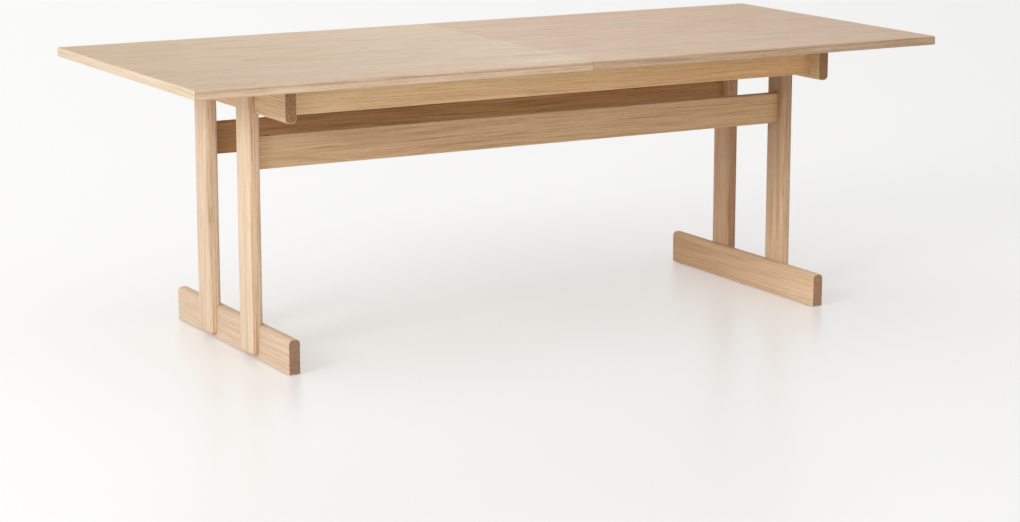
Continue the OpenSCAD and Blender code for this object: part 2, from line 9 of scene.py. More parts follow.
import bmesh
import bpy
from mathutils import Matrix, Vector


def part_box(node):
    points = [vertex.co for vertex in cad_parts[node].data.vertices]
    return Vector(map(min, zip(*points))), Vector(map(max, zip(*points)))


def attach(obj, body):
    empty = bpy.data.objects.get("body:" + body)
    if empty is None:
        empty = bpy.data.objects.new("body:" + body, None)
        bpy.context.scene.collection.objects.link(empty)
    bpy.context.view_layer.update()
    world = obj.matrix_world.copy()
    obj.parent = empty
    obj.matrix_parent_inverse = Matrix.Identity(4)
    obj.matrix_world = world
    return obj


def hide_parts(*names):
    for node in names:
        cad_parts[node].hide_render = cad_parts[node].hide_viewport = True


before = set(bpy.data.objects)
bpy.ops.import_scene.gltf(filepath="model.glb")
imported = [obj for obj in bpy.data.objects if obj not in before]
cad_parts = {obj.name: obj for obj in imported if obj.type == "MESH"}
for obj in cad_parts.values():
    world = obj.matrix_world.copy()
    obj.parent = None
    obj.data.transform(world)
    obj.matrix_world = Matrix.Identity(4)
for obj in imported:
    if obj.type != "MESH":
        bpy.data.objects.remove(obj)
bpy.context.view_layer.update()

MM = 0.001
SIDES = {"left": -1, "right": 1}
ROWS = {"front": -1, "rear": 1}


# ---------- meshes ----------


def mesh_object(name, verts, faces, merge=False):
    """A mesh in the scene, its faces turned outwards."""
    mesh = bpy.data.meshes.new(name)
    mesh.from_pydata([tuple(v) for v in verts], [], faces)
    bm = bmesh.new()
    bm.from_mesh(mesh)
    if merge:
        bmesh.ops.remove_doubles(bm, verts=bm.verts, dist=0.01 * MM)
        bmesh.ops.dissolve_degenerate(bm, edges=bm.edges, dist=0.005 * MM)
    bmesh.ops.recalc_face_normals(bm, faces=bm.faces)
    bm.to_mesh(mesh)
    bm.free()
    obj = bpy.data.objects.new(name, mesh)
    bpy.context.scene.collection.objects.link(obj)
    return obj


def piece(name, verts, faces, body, nodes=(), merge=False):
    """A mesh that rides on a body and stands for CAD nodes; the verts are in the table's frame."""
    obj = mesh_object(name, verts, faces, merge)
    smooth(obj)
    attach(obj, body)
    if nodes:
        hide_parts(*nodes)
    return obj


def smooth(obj, angle=32):
    """Smooth shading, apart from edges sharper than the angle in degrees."""
    obj.data.shade_smooth()
    obj.data.set_sharp_from_angle(angle=math.radians(angle))


def loft(rings):
    """Verts and faces of a closed tube through rings of the same number of points."""
    count = len(rings[0])
    verts = [v for ring in rings for v in ring]
    faces = []
    for i in range(len(rings) - 1):
        for j in range(count):
            k = (j + 1) % count
            faces.append((i * count + j, i * count + k, (i + 1) * count + k, (i + 1) * count + j))
    faces.append(tuple(range(count)))
    faces.append(tuple(range(len(verts) - count, len(verts))))
    return verts, faces


def arc(steps):
    """(sin, cos) of angles from 0 to 90 degrees."""
    return [(math.sin(math.pi / 2 * i / steps), math.cos(math.pi / 2 * i / steps))
            for i in range(steps + 1)]


def rounded_outline(low, high, radii, steps=8):
    """(point, outward normal) pairs round a rectangle in 2-D, its four corners rounded.
    The radii start at the lower left corner and go anticlockwise."""
    corners = [
        (low[0], low[1], -1, -1),
        (high[0], low[1], 1, -1),
        (high[0], high[1], 1, 1),
        (low[0], high[1], -1, 1),
    ]
    pairs = []
    for (x, y, sx, sy), r in zip(corners, radii):
        centre = (x - sx * r, y - sy * r)
        turn = math.atan2(sy, sx) - math.pi / 4
        for i in range(steps + 1):
            a = turn + math.pi / 2 * i / steps
            n = (math.cos(a), math.sin(a))
            pairs.append(((centre[0] + r * n[0], centre[1] + r * n[1]), n))
    return pairs


def inset(pairs, depth):
    """An outline drawn in by a depth."""
    return [(p[0] - n[0] * depth, p[1] - n[1] * depth) for p, n in pairs]


def eased_stations(low, high, ease, steps=4):
    """(position, inset) pairs along a bar whose two ends have rounded edges."""
    rise = [(ease * (1 - c), ease * (1 - s)) for s, c in arc(steps)]
    return [(low + d, i) for d, i in rise] + [(high - d, i) for d, i in reversed(rise)]


def slab_along_x(pairs, low, high, ease):
    """Rings of a slab whose outline is in (y, z)."""
    stations = eased_stations(low, high, ease)
    return [[(x, y, z) for y, z in inset(pairs, depth)] for x, depth in stations]


def bar_along_y(pairs, low, high, ease):
    """Rings of a bar whose outline is in (x, z)."""
    stations = eased_stations(low, high, ease)
    return [[(x, y, z) for x, z in inset(pairs, depth)] for y, depth in stations]


def carve(obj, cutter, ease):
    """Cuts the cutter out of obj, then eases the edges that the cut leaves."""
    cut = obj.modifiers.new("cut", "BOOLEAN")
    cut.operation = "DIFFERENCE"
    cut.solver = "EXACT"
    cut.object = cutter
    bevel = obj.modifiers.new("ease", "BEVEL")
    bevel.width = ease
    bevel.segments = 3
    bevel.limit_method = "ANGLE"
    bevel.angle_limit = math.radians(40)
    bpy.context.view_layer.update()
    depsgraph = bpy.context.evaluated_depsgraph_get()
    mesh = bpy.data.meshes.new_from_object(obj.evaluated_get(depsgraph))
    obj.modifiers.clear()
    obj.data = mesh
    bpy.data.objects.remove(cutter)
    smooth(obj)


# ---------- trestles ----------

POST_CORNER_R = 10 * MM  # lower corners of a post's face
POST_EDGE_R = 9 * MM  # long edges of a post
POST_SQUARE_H = 12 * MM  # height of a post's top end, which stays square
BAR_ROUND_R = 12 * MM  # round side of a foot or batten
BAR_EDGE_R = 3 * MM  # edges of its flat side
BAR_END_EASE = 2.5 * MM  # edges of its ends
HOUSING_PLAY = 0.5 * MM  # gap between a post and the housing it is let into
HOUSING_EASE = 1.2 * MM  # edges of the housing
CUTTER_REACH = 40 * MM  # reach of the housings' cutter out from the middle of a bar
SHARP_R = 0.2 * MM


def post_pairs(node, play=0.0):
    """Face of a post in (y, z), its lower corners rounded."""
    low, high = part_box(node)
    return rounded_outline(
        (low.y - play, low.z - play),
        (high.y + play, high.z + play),
        (POST_CORNER_R, POST_CORNER_R, SHARP_R, SHARP_R),
    )


def make_post(side, row):
    """A post with rounded long edges and a rounded foot; its top end stays square."""
    node = f"post_{row}_{side}"
    low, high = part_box(node)
    square_z = high.z - POST_SQUARE_H
    rings = slab_along_x(post_pairs(node), low.x, high.x, POST_EDGE_R)
    rings = [[(x, y, high.z if z > square_z else z) for x, y, z in ring] for ring in rings]
    verts, faces = loft(rings)
    return piece(node + "_wood", verts, faces, "frame", [node])


def cutter_for(side, outer_x, inner_x):
    """The housings of both posts of a trestle as one mesh."""
    verts, faces = [], []
    for row in ROWS:
        pairs = post_pairs(f"post_{row}_{side}", HOUSING_PLAY)
        rings = [[(x, p[0], p[1]) for p, n in pairs] for x in (outer_x, inner_x)]
        more_verts, more_faces = loft(rings)
        faces += [tuple(i + len(verts) for i in f) for f in more_faces]
        verts += more_verts
    return mesh_object("cutter", verts, faces)


def make_bar(kind, side):
    """A foot, rounded along its top, or a batten, rounded along its lower side."""
    node = f"{kind}_{side}"
    low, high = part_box(node)
    below, above = (BAR_EDGE_R, BAR_ROUND_R) if kind == "foot" else (BAR_ROUND_R, BAR_EDGE_R)
    pairs = rounded_outline((low.x, low.z), (high.x, high.z), (below, below, above, above))
    verts, faces = loft(bar_along_y(pairs, low.y, high.y, BAR_END_EASE))
    obj = piece(node + "_wood", verts, faces, "frame", [node])
    middle_x = (low.x + high.x) / 2
    outer_x = middle_x + SIDES[side] * CUTTER_REACH
    carve(obj, cutter_for(side, outer_x, middle_x), HOUSING_EASE)
    return obj


# ---------- lippings of the top ----------

LIPPING_W = 14 * MM
EDGE_R = 4 * MM  # outer edges of the lippings
INNER_R = 0.05 * MM  # edges against the board
SEAM_EASE = 4.5 * MM  # rounding of the outer edges where the two halves meet
SEAM_EASE_DEPTH = 7 * MM  # depth from the outer face at which that rounding ends


def lipping_pairs(height):
    """Section of a lipping as (depth from the outer face, height) with normals."""
    return rounded_outline((0, 0), (LIPPING_W, height), (EDGE_R, INNER_R, INNER_R, EDGE_R), steps=6)


def corner_ring(section, angle):
    """The section at an angle round the outer corner, as (along, depth, height)."""
    ring = []
    for (depth, height), _ in section:
        reach = max(EDGE_R - depth, 0)
        centre = max(EDGE_R, depth)
        ring.append((centre - reach * math.sin(angle), centre - reach * math.cos(angle), height))
    return ring


def make_long_lipping(side, row, steps=4):
    """Front or rear lipping of one half, mitred at the corner. Its arrises are eased at the seam."""
    node = f"lipping_{side}_{row}"
    low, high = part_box(node)
    section = lipping_pairs(high.z - low.z)
    length = high.x - low.x
    rings = [corner_ring(section, math.pi / 4 * (1 - i / steps)) for i in range(steps + 1)]
    for s, c in reversed(arc(5)):
        ring = []
        for (depth, height), n in section:
            # 1 in the middle of a rounded edge and little on the flat faces
            arris = 0.15 + 0.85 * abs(2 * n[0] * n[1])
            pull = SEAM_EASE * arris * (1 - s) * max(0.0, 1 - depth / SEAM_EASE_DEPTH)
            ring.append((length - SEAM_EASE * (1 - c), depth - n[0] * pull, height - n[1] * pull))
        rings.append(ring)
    verts, faces = loft(rings)
    sx, sy = SIDES[side], ROWS[row]
    x0 = low.x if sx < 0 else high.x
    y0 = low.y if sy < 0 else high.y
    placed = [(x0 - sx * a, y0 - sy * d, low.z + h) for a, d, h in verts]
    return piece(node + "_wood", placed, faces, f"top_{side}", [node], merge=True)


def make_end_lipping(side, steps=4):
    """Lipping of one half's end, mitred at both corners."""
    node = f"lipping_{side}_end"
    low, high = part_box(node)
    section = lipping_pairs(high.z - low.z)
    first = [corner_ring(section, math.pi / 4 * (1 - i / steps)) for i in range(steps + 1)]
    length = high.y - low.y
    rings = first + [[(length - a, d, h) for a, d, h in ring] for ring in reversed(first)]
    verts, faces = loft(rings)
    sx = SIDES[side]
    x0 = low.x if sx < 0 else high.x
    placed = [(x0 - sx * d, low.y + a, low.z + h) for a, d, h in verts]
    return piece(node + "_wood", placed, faces, f"top_{side}", [node], merge=True)


# ---------- caps of the stretchers' fittings ----------

CAP_R = 7.3 * MM
CAP_PROFILE = (
    (CAP_R - 0.4 * MM, -3.2 * MM),
    (CAP_R, -2.8 * MM),
    (CAP_R, -0.6 * MM),
    (CAP_R - 0.4 * MM, -0.3 * MM),
    (CAP_R - 1.4 * MM, -0.3 * MM),
    (CAP_R - 1.9 * MM, -0.7 * MM),
    (2 * MM, -1.1 * MM),
    (0.5 * MM, -1.1 * MM),
)


def make_cam_cap(side, row, steps=32):
    """Dished plastic cap over the cam that tightens a stretcher's end; it is near-black and stands in
    for the shade down in the cam's bore.
    """
    rail_low, rail_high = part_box(f"stretcher_{row}")
    cams_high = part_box("stretcher_cams")[1]
    x = SIDES[side] * (cams_high.x - CAP_R)
    y = (rail_low.y + rail_high.y) / 2
    turns = [2 * math.pi * i / steps for i in range(steps)]
    rings = []
    for r, height in CAP_PROFILE:
        z = rail_high.z + height
        rings.append([(x + r * math.cos(turn), y + r * math.sin(turn), z) for turn in turns])
    verts, faces = loft(rings)
    return piece(f"cam_cap_{row}_{side}", verts, faces, "frame")


# ---------- nodes of materials ----------


def feed(tree, socket, value):
    """Feeds a socket from another one, or sets it to a plain value."""
    if isinstance(value, bpy.types.NodeSocket):
        tree.links.new(value, socket)
    else:
        socket.default_value = value


def add(tree, kind, inputs=None, **settings):
    """A new node with its settings, its inputs fed."""
    node = tree.nodes.new(kind)
    for key, value in settings.items():
        setattr(node, key, value)
    for key, value in (inputs or {}).items():
        feed(tree, node.inputs[key], value)
    return node


def calc(tree, operation, *values, clamp=False):
    """The result of a sum on numbers."""
    node = add(tree, "ShaderNodeMath", operation=operation, use_clamp=clamp)
    for socket, value in zip(node.inputs, values):
        feed(tree, socket, value)
    return node.outputs[0]


def vcalc(tree, operation, *values):
    """The result of a sum on vectors."""
    node = add(tree, "ShaderNodeVectorMath", operation=operation)
    for socket, value in zip(node.inputs, values):
        feed(tree, socket, value)
    return node.outputs["Value" if operation == "LENGTH" else "Vector"]


def ramp(tree, value, low, high, out_low=0.0, out_high=1.0, kind="SMOOTHSTEP"):
    """Value mapped from low..high to out_low..out_high."""
    node = add(tree, "ShaderNodeMapRange", interpolation_type=kind)
    for key, number in (("Value", value), ("From Min", low), ("From Max", high),
                        ("To Min", out_low), ("To Max", out_high)):
        feed(tree, node.inputs[key], number)
    return node.outputs["Result"]


def noise(tree, vector, scale, detail=2.0, rough=0.5):
    """Noise stretched by a scale for each axis, in turns a metre."""
    scaled = vcalc(tree, "MULTIPLY", vector, scale)
    return add(tree, "ShaderNodeTexNoise",
               {"Vector": scaled, "Scale": 1.0, "Detail": detail, "Roughness": rough})


def mix(tree, factor, first, second, kind="MIX"):
    """Two colours mixed, or put together in another kind of way."""
    node = add(tree, "ShaderNodeMix", data_type="RGBA", blend_type=kind)
    # sockets 0, 6 and 7 are the factor and the two colours
    for index, value in ((0, factor), (6, first), (7, second)):
        feed(tree, node.inputs[index], value)
    return node.outputs[2]


def tint(tree, factor, colour, red, green, blue):
    """The colour multiplied by another one where the factor is 1."""
    return mix(tree, factor, colour, (red, green, blue, 1.0), "MULTIPLY")


def sway(tree, value, amount):
    """A 0..1 noise turned into -amount/2..amount/2."""
    return calc(tree, "MULTIPLY", calc(tree, "SUBTRACT", value, 0.5), amount)


def new_material(name):
    """A material, its nodes and its shader."""
    material = bpy.data.materials.new(name)
    material.use_nodes = True
    tree = material.node_tree
    return material, tree, tree.nodes["Principled BSDF"]


def object_parts(tree, output="Object"):
    """X, Y and Z of an object's own coordinates or of its normal."""
    coords = tree.nodes.new("ShaderNodeTexCoord")
    return list(add(tree, "ShaderNodeSeparateXYZ", {0: coords.outputs[output]}).outputs)


def join(tree, parts):
    """A vector of three numbers."""
    return add(tree, "ShaderNodeCombineXYZ", dict(enumerate(parts))).outputs[0]


def surface(tree, shader, layer, relief, strength=0.5):
    """Gives the shader a layer's colour, roughness and height."""
    feed(tree, shader.inputs["Base Color"], layer[0])
    feed(tree, shader.inputs["Roughness"], layer[1])
    bump = add(tree, "ShaderNodeBump", {"Height": layer[2], "Strength": strength, "Distance": relief})
    feed(tree, shader.inputs["Normal"], bump.outputs["Normal"])


# ---------- oak and beech ----------


def wood_sockets(tree):
    """Gives the group of wood its inputs and outputs."""
    for name, kind, value in (
        ("Vector", "Vector", (0, 0, 0)),
        ("Seed", "Float", 0.0),
        ("Pith", "Vector", (0, 0, 0)),
        ("Pitch", "Float", 0.004),
        ("End", "Float", 0.0),
        ("Contrast", "Float", 1.0),
        ("Blush", "Float", 0.4),
        ("Tone", "Color", (1, 1, 1, 1)),
    ):
        socket = tree.interface.new_socket(name, in_out="INPUT", socket_type="NodeSocket" + kind)
        socket.default_value = value
    for name, kind in (("Color", "Color"), ("Roughness", "Float"), ("Height", "Float")):
        tree.interface.new_socket(name, in_out="OUTPUT", socket_type="NodeSocket" + kind)
    return tree.nodes.new("NodeGroupInput").outputs, tree.nodes.new("NodeGroupOutput").inputs


def growth_rings(tree, given, place):
    """How far through its year the wood is, and how much dark late wood it has, round a
    wandering pith."""
    wander = noise(tree, place, (0.9, 3.0, 3.0)).outputs["Color"]
    bend = vcalc(tree, "MULTIPLY", vcalc(tree, "SUBTRACT", wander, (0.5, 0.5, 0.5)), (0, 0.05, 0.05))
    across = vcalc(tree, "MULTIPLY", vcalc(tree, "ADD", given["Vector"], bend), (0, 1, 1))
    radius = vcalc(tree, "LENGTH", vcalc(tree, "SUBTRACT", across, given["Pith"]))
    wobble = noise(tree, place, (5, 40, 40)).outputs[0]
    radius = calc(tree, "MULTIPLY_ADD", wobble, 3 * MM, radius)
    phase = calc(tree, "DIVIDE", radius, given["Pitch"])
    in_ring = calc(tree, "FRACT", phase)
    year = calc(tree, "FLOOR", phase)
    strength = add(tree, "ShaderNodeTexWhiteNoise", {"W": year}, noise_dimensions="1D").outputs["Value"]
    late = calc(tree, "MULTIPLY", calc(tree, "POWER", in_ring, 2.0),
                ramp(tree, strength, 0.0, 1.0, 0.25, 1.0))
    return in_ring, late


def end_grain(tree, colour, in_ring, fibre, contrast):
    """End grain drinks more oil, so it is darker, and it shows the rings best."""
    ended = tint(tree, 1.0, colour, 0.56, 0.46, 0.40)
    rings = calc(tree, "MULTIPLY", ramp(tree, in_ring, 0.3, 0.7), contrast, clamp=True)
    rings = calc(tree, "MULTIPLY", rings, ramp(tree, fibre, 0.38, 0.58, 0.35, 1.0))
    return tint(tree, rings, ended, 0.52, 0.47, 0.46)


def wood_group():
    """Solid wood with its grain along X of the vector it is given, in metres."""
    tree = bpy.data.node_groups.new("wood", "ShaderNodeTree")
    given, result = wood_sockets(tree)
    shift = vcalc(tree, "SCALE", (1.7, 3.1, 2.3))
    feed(tree, shift.node.inputs["Scale"], given["Seed"])
    place = vcalc(tree, "ADD", given["Vector"], shift)
    in_ring, late = growth_rings(tree, given, place)

    # noises: broad stripes, fibres, veins, pink and yellow bands, clouds and pores
    stripe = noise(tree, place, (1.8, 80, 80)).outputs[0]
    fibre = noise(tree, place, (4.5, 330, 330), detail=2.0, rough=0.6).outputs[0]
    fine = noise(tree, place, (45, 900, 900)).outputs[0]
    vein = ramp(tree, noise(tree, place, (5.0, 210, 210), detail=1.0).outputs[0], 0.60, 0.74)
    hue = noise(tree, place, (1.2, 28, 28)).outputs[0]
    cloud = noise(tree, place, (5, 9, 9)).outputs[0]
    pore_field = noise(tree, place, (130, 1700, 1700), detail=1.0).outputs[0]
    pores = calc(tree, "MULTIPLY", ramp(tree, pore_field, 0.58, 0.68),
                 ramp(tree, in_ring, 0.05, 0.45, 1.0, 0.25))

    # from light to dark wood
    tone = calc(tree, "MULTIPLY", calc(tree, "SUBTRACT", late, 0.2), 0.4)
    for value, amount in ((fibre, 1.7), (stripe, 0.45), (fine, 0.9), (cloud, 0.3)):
        tone = calc(tree, "ADD", tone, sway(tree, value, amount))
    tone = calc(tree, "MULTIPLY_ADD", tone, given["Contrast"], 0.36, clamp=True)
    light = tint(tree, 1.0, given["Tone"], 1.15, 1.19, 1.24)
    dark = tint(tree, 1.0, given["Tone"], 0.74, 0.66, 0.57)
    colour = mix(tree, tone, light, dark)
    pink = calc(tree, "MULTIPLY", ramp(tree, hue, 0.36, 0.5, 1.0, 0.0), given["Blush"])
    yellow = calc(tree, "MULTIPLY", ramp(tree, hue, 0.5, 0.64), given["Blush"])
    colour = tint(tree, pink, colour, 1.03, 0.97, 0.965)
    colour = tint(tree, yellow, colour, 0.985, 1.01, 0.945)
    colour = tint(tree, calc(tree, "MULTIPLY", vein, given["Contrast"], clamp=True), colour,
                  0.82, 0.75, 0.67)
    colour = tint(tree, calc(tree, "MULTIPLY", pores, 0.55), colour, 0.72, 0.64, 0.56)

    ended = end_grain(tree, colour, in_ring, fibre, given["Contrast"])
    colour = mix(tree, given["End"], colour, ended)

    rough = calc(tree, "MULTIPLY_ADD", fine, 0.16, 0.5)
    feed(tree, result["Color"], colour)
    feed(tree, result["Roughness"], calc(tree, "MULTIPLY_ADD", pores, 0.15, rough))
    feed(tree, result["Height"],
         calc(tree, "MULTIPLY_ADD", pores, -1.0, calc(tree, "MULTIPLY", fine, 0.35)))
    return tree


WOOD = wood_group()
TURN_TO_X = ((0, 1, 2), (1, 0, 2), (2, 1, 0))  # orders of axes that lay a grain of X, Y or Z along X
RELIEF = 0.25 * MM  # depth of the pores


def wood_layer(tree, vector, tone, seed, pith, end, contrast, pitch, blush=0.4):
    """Colour, roughness and height of the wood."""
    group = add(tree, "ShaderNodeGroup", {}, node_tree=WOOD)
    for key, value in (("Vector", vector), ("Tone", tone), ("Seed", seed), ("Pith", pith),
                       ("End", end), ("Contrast", contrast), ("Pitch", pitch), ("Blush", blush)):
        feed(tree, group.inputs[key], value)
    return list(group.outputs)


def tone_with_painted_falloff(tree, place, grain, span, low_tone, high_tone):
    """A board's tone, which drifts from its low end to its high end: painted light falloff and shade on
    top of the board's own tone.
    """
    along = ramp(tree, place[grain], span[0], span[1], kind="LINEAR")
    return mix(tree, along, (*low_tone, 1.0), (*high_tone, 1.0))


def board_layer(tree, grain, span, look, seed, pith):
    """Wood of one board; look says its tones at both ends, and what its side faces do: they get a tint
    of painted shade and more grain contrast.
    """
    place = object_parts(tree)
    normal = object_parts(tree, "Normal")
    # painted light falloff and shade: the tone drifts along the grain between the look's low and high
    # tones
    tone = tone_with_painted_falloff(tree, place, grain, span, look["low"], look["high"])
    # painted shade: faces that look along Y, which the key light from the left reaches less, are
    # darkened by the look's side tint
    side = ramp(tree, calc(tree, "ABSOLUTE", normal[1]), 0.76, 0.92)
    tone = tint(tree, side, tone, *look["side"])
    order = TURN_TO_X[grain]
    end = ramp(tree, calc(tree, "ABSOLUTE", normal[grain]), 0.8, 0.97)
    vector = join(tree, [place[i] for i in order])
    heart = (0, pith[order[1]], pith[order[2]])
    contrast = calc(tree, "MULTIPLY_ADD", side, look["side_contrast"], look["contrast"])
    return wood_layer(tree, vector, tone, seed, heart, end, contrast, look["pitch"])


LEAF_W = 118 * MM
VENEER_DEPTH = 130 * MM  # from the log's pith out to the veneer
STREAK_Z = (-10 * MM, -7.5 * MM, -4.5 * MM, -2.5 * MM)  # starts, is full, fades and ends here


def veneer_layer(tree, span, look):
    """Crown-cut veneer along X in leaves side by side, the same through both halves of the top."""
    x, y, z = object_parts(tree)
    leaf = calc(tree, "FLOOR", calc(tree, "DIVIDE", y, LEAF_W))
    pick = add(tree, "ShaderNodeTexWhiteNoise", {"W": leaf}, noise_dimensions="1D").outputs["Value"]
    middle = calc(tree, "MULTIPLY", calc(tree, "ADD", leaf, 0.5), LEAF_W)
    local = calc(tree, "ADD", calc(tree, "SUBTRACT", y, middle), sway(tree, pick, LEAF_W))
    # painted light falloff along the top, from the look's low and high tones
    tone = tone_with_painted_falloff(tree, (x, y, z), 0, span, look["low"], look["high"])
    tone = tint(tree, pick, tone, 1.03, 1.01, 0.97)
    seed = calc(tree, "MULTIPLY", pick, 9.0)
    pith = (0, 0, -VENEER_DEPTH)
    flat = join(tree, (x, local, 0.0))
    return wood_layer(tree, flat, tone, seed, pith, 0.0, look["contrast"], look["pitch"], blush=1.0)


def wood_surface(tree, shader, layer):
    """Oiled wood: its pores show, and it is only a little glossy."""
    surface(tree, shader, layer, RELIEF)
    shader.inputs["Specular IOR Level"].default_value = 0.25


def board_material(name, node, grain, look, seed):
    """Solid oak or beech with its grain along an axis of the table."""
    low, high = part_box(node)
    reach = look["heart"]
    pith = [(low[i] + high[i]) / 2 + reach[i] for i in range(3)]
    material, tree, shader = new_material(name)
    layer = board_layer(tree, grain, (low[grain], high[grain]), look, seed, pith)
    wood_surface(tree, shader, layer)
    return material


def veneer_material(name, node, look):
    """Veneer over a whole node."""
    low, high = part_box(node)
    material, tree, shader = new_material(name)
    wood_surface(tree, shader, veneer_layer(tree, (low.x, high.x), look))
    return material


def streak_mask(tree, top_z):
    """Where a lipping's outer face has its patchy dark streak, just below the top."""
    place = object_parts(tree)
    start, full, fading, end = (top_z + z for z in STREAK_Z)
    band = calc(tree, "MULTIPLY", ramp(tree, place[2], start, full),
                ramp(tree, place[2], fading, end, 1.0, 0.0))
    patches = noise(tree, join(tree, place), (5, 5, 5)).outputs[0]
    return calc(tree, "MULTIPLY", band, ramp(tree, patches, 0.3, 0.6, 0.55, 1.0))


def lipping_material(name, node, grain, look, veneer_look, seed):
    """A lipping whose top carries the veneer on, with a dark streak in its outer face."""
    low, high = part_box(node)
    half_low, half_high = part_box("top_left" if low.x < 0 else "top_right")
    material, tree, shader = new_material(name)
    pith = ((low.x + high.x) / 2 + 60 * MM, (low.y + high.y) / 2 + 30 * MM, low.z - 80 * MM)
    edge = board_layer(tree, grain, (low[grain], high[grain]), look, seed, pith)
    streak = calc(tree, "MULTIPLY", streak_mask(tree, high.z), look["streak"])
    edge[0] = tint(tree, streak, edge[0], 0.74, 0.67, 0.60)
    over = veneer_layer(tree, (half_low.x, half_high.x), veneer_look)
    up = ramp(tree, object_parts(tree, "Normal")[2], 0.6, 0.9)
    layer = [mix(tree, up, edge[0], over[0])]
    for a, b in zip(edge[1:], over[1:]):
        layer.append(calc(tree, "MULTIPLY_ADD", up, calc(tree, "SUBTRACT", b, a), a))
    wood_surface(tree, shader, layer)
    return material


def board_look(low, high=None, side=(1, 1, 1), contrast=1.0, side_contrast=0.0,
               pitch=3.5, streak=0.0, heart=(0, 0, 0)):
    """How a board looks: its linear colours at the low and high end of its grain, which hold painted
    shade and light falloff on top of the wood's own tone, a tint of painted shade and extra contrast
    for its Y faces, and in mm the width of its rings and where the pith lies from its middle."""
    return {"low": low, "high": high or low, "side": side, "contrast": contrast,
            "side_contrast": side_contrast, "pitch": pitch * MM, "streak": streak,
            "heart": [v * MM for v in heart]}


# ---------- metal, plastic and felt ----------


def metal(name, light, dark, rough):
    """Plated or cast metal with cloudy tone, faint drawing lines and a fine skin."""
    material, tree, shader = new_material(name)
    place = join(tree, object_parts(tree))
    cloud = noise(tree, place, (60, 60, 60), detail=4.0).outputs[0]
    lines = noise(tree, place, (90, 1500, 1500), detail=2.0).outputs[0]
    grit = noise(tree, place, (2500, 2500, 2500), detail=1.0).outputs[0]
    colour = mix(tree, ramp(tree, cloud, 0.3, 0.7), (*dark, 1.0), (*light, 1.0))
    roughness = calc(tree, "MULTIPLY_ADD", lines, 0.22, rough - 0.11)
    height = calc(tree, "MULTIPLY_ADD", grit, 0.5, lines)
    surface(tree, shader, (colour, roughness, height), 0.03 * MM, 0.4)
    shader.inputs["Metallic"].default_value = 1.0
    return material


def moulded(name, light, dark):
    """Moulded plastic with a spark-eroded skin."""
    material, tree, shader = new_material(name)
    place = join(tree, object_parts(tree))
    skin = noise(tree, place, (1800, 1800, 1800), detail=2.0).outputs[0]
    cloud = noise(tree, place, (40, 40, 40)).outputs[0]
    colour = mix(tree, cloud, (*dark, 1.0), (*light, 1.0))
    roughness = calc(tree, "MULTIPLY_ADD", skin, 0.15, 0.42)
    surface(tree, shader, (colour, roughness, skin), 0.05 * MM)
    return material


def felt(name, light, dark):
    """Pressed felt of short matted fibres."""
    material, tree, shader = new_material(name)
    place = join(tree, object_parts(tree))
    one = noise(tree, place, (300, 2600, 900), detail=3.0).outputs[0]
    two = noise(tree, place, (2600, 300, 900), detail=3.0).outputs[0]
    fibres = calc(tree, "MAXIMUM", one, two)
    colour = mix(tree, ramp(tree, fibres, 0.45, 0.7), (*dark, 1.0), (*light, 1.0))
    roughness = calc(tree, "MULTIPLY_ADD", fibres, 0.1, 0.88)
    surface(tree, shader, (colour, roughness, fibres), 0.3 * MM, 0.9)
    shader.inputs["Sheen Weight"].default_value = 0.35
    shader.inputs["Sheen Roughness"].default_value = 0.6
    return material


def paint(obj, material):
    """Gives the object this material alone."""
    obj.data.materials.clear()
    obj.data.materials.append(material)


def ease_edges(obj, width):
    """Breaks the sharp edges of a board that keeps its CAD mesh."""
    weld = obj.modifiers.new("weld", "WELD")
    weld.merge_threshold = 0.01 * MM
    bevel = obj.modifiers.new("ease", "BEVEL")
    bevel.width = width
    bevel.segments = 2
    bevel.limit_method = "ANGLE"
    bevel.angle_limit = math.radians(50)
    bevel.harden_normals = True


# ---------- build ----------

# Linear tones at both ends of each board. Besides the oak's own tone they hold painted light: tones
# fall off towards the right, and the right-hand pieces and those under the top are painted darker where
# shade falls on them.
VENEER = {
    "left": board_look((0.564, 0.435, 0.313), (0.667, 0.542, 0.416), contrast=0.9, pitch=2.6),
    "right": board_look((0.628, 0.486, 0.378), (0.565, 0.425, 0.322), contrast=0.9, pitch=2.6),
}
LIPPING = {
    "left": board_look((0.638, 0.46, 0.324), (0.608, 0.448, 0.316), contrast=1.3, streak=1.0),
    "right": board_look((0.499, 0.352, 0.231), (0.436, 0.306, 0.194), contrast=1.3, streak=0.35),
    "end": board_look((0.691, 0.558, 0.414), contrast=0.5),
}
